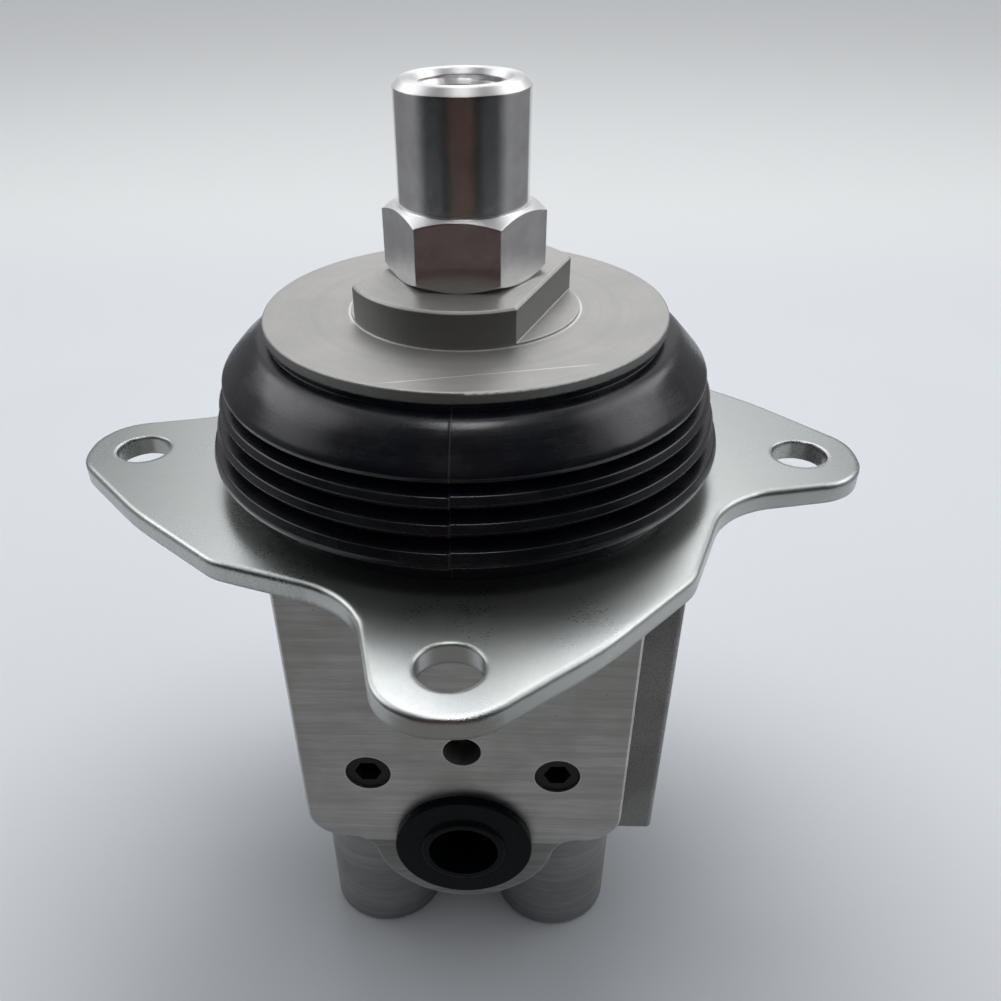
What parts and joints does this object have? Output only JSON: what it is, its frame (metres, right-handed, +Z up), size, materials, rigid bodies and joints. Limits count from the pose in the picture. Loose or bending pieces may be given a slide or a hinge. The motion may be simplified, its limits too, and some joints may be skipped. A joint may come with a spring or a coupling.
{
  "type": "hydraulic pilot joystick valve",
  "caption": "Hydraulic pilot joystick valve: ported aluminium body, eared mounting plate, bellows boot and a sprung tilting disc with a threaded coupling for a grip.",
  "frame": {"origin": "on the valve axis at the bottom of the four work port bosses", "axes": "+Z up along the valve axis; the pressure port faces -Y and the tank port +X"},
  "size_m": [0.1292, 0.1292, 0.149],
  "materials": {
    "body_aluminium": "milled, fine brushed",
    "zinc_plate": "bright zinc plated",
    "turned_steel": "satin turned",
    "bright_nut": "bright plated",
    "black_screws": "black oxide",
    "boot_rubber": "semi-gloss moulded",
    "seal_rubber": "matt",
    "cap_plastic": "matt blue-black",
    "spring_steel": "drawn wire",
    "brass_guides": "turned",
    "ground_steel": "ground"
  },
  "bodies": {
    "housing": {"valve_body": "body_aluminium", "mounting_plate": "zinc_plate", "guide_retainer": "ground_steel", "retainer_screws": "black_screws", "joint_base": "ground_steel", "plunger_guides": "brass_guides", "rod_seals": "seal_rubber", "guide_orings": "seal_rubber", "pressure_port_cap": "cap_plastic", "tank_port_cap": "cap_plastic", "gallery_plugs": "black_screws", "boot": "boot_rubber", "return_spring_1": "spring_steel", "return_spring_2": "spring_steel", "return_spring_3": "spring_steel", "return_spring_4": "spring_steel"},
    "joint_cross": {"joint_spider": "ground_steel"},
    "lever": {"joint_yoke": "ground_steel", "tilt_disc": "turned_steel", "coupling_nut": "bright_nut"},
    "plunger_set_1": {"plunger_1": "ground_steel", "spring_seat_1": "turned_steel", "metering_spring_1": "spring_steel"},
    "plunger_set_2": {"plunger_2": "ground_steel", "spring_seat_2": "turned_steel", "metering_spring_2": "spring_steel"},
    "plunger_set_3": {"plunger_3": "ground_steel", "spring_seat_3": "turned_steel", "metering_spring_3": "spring_steel"},
    "plunger_set_4": {"plunger_4": "ground_steel", "spring_seat_4": "turned_steel", "metering_spring_4": "spring_steel"},
    "spool_set_1": {"spool_1": "ground_steel"},
    "spool_set_2": {"spool_2": "ground_steel"},
    "spool_set_3": {"spool_3": "ground_steel"},
    "spool_set_4": {"spool_4": "ground_steel"}
  },
  "joints": [
    {"name": "tilt_lower", "type": "hinge", "parent": "housing", "child": "joint_cross", "pos_m": [0, 0, 0.1015], "axis": [0.7071, 0.7071, 0], "range_deg": [-19, 19], "stiffness_Nm_per_rad": 4.5, "deforming": ["boot"]},
    {"name": "tilt_upper", "type": "hinge", "parent": "joint_cross", "child": "lever", "pos_m": [0, 0, 0.1015], "axis": [0.7071, -0.7071, 0], "range_deg": [-19, 19], "stiffness_Nm_per_rad": 4.5, "deforming": ["boot"]},
    {"name": "plunger_slide_1", "type": "slide", "parent": "housing", "child": "plunger_set_1", "axis": [0, 0, 1], "range_m": [-0.009, 0.009], "deforming": ["return_spring_1", "metering_spring_1"]},
    {"name": "plunger_slide_2", "type": "slide", "parent": "housing", "child": "plunger_set_2", "axis": [0, 0, 1], "range_m": [-0.009, 0.009], "deforming": ["return_spring_2", "metering_spring_2"]},
    {"name": "plunger_slide_3", "type": "slide", "parent": "housing", "child": "plunger_set_3", "axis": [0, 0, 1], "range_m": [-0.009, 0.009], "deforming": ["return_spring_3", "metering_spring_3"]},
    {"name": "plunger_slide_4", "type": "slide", "parent": "housing", "child": "plunger_set_4", "axis": [0, 0, 1], "range_m": [-0.009, 0.009], "deforming": ["return_spring_4", "metering_spring_4"]},
    {"name": "spool_slide_1", "type": "slide", "parent": "housing", "child": "spool_set_1", "axis": [0, 0, 1], "range_m": [-0.001, 0.001]},
    {"name": "spool_slide_2", "type": "slide", "parent": "housing", "child": "spool_set_2", "axis": [0, 0, 1], "range_m": [-0.001, 0.001]},
    {"name": "spool_slide_3", "type": "slide", "parent": "housing", "child": "spool_set_3", "axis": [0, 0, 1], "range_m": [-0.001, 0.001]},
    {"name": "spool_slide_4", "type": "slide", "parent": "housing", "child": "spool_set_4", "axis": [0, 0, 1], "range_m": [-0.001, 0.001]}
  ],
  "couplings": [
    {"joint": "plunger_slide_1", "follows": "tilt_lower", "m_per_rad": -0.024963},
    {"joint": "plunger_slide_2", "follows": "tilt_lower", "m_per_rad": 0.024963},
    {"joint": "plunger_slide_3", "follows": "tilt_upper", "m_per_rad": 0.024963},
    {"joint": "plunger_slide_4", "follows": "tilt_upper", "m_per_rad": -0.024963},
    {"joint": "spool_slide_1", "follows": "tilt_lower", "m_per_rad": -0.0024125},
    {"joint": "spool_slide_2", "follows": "tilt_lower", "m_per_rad": 0.0024125},
    {"joint": "spool_slide_3", "follows": "tilt_upper", "m_per_rad": 0.0024125},
    {"joint": "spool_slide_4", "follows": "tilt_upper", "m_per_rad": -0.0024125}
  ]
}
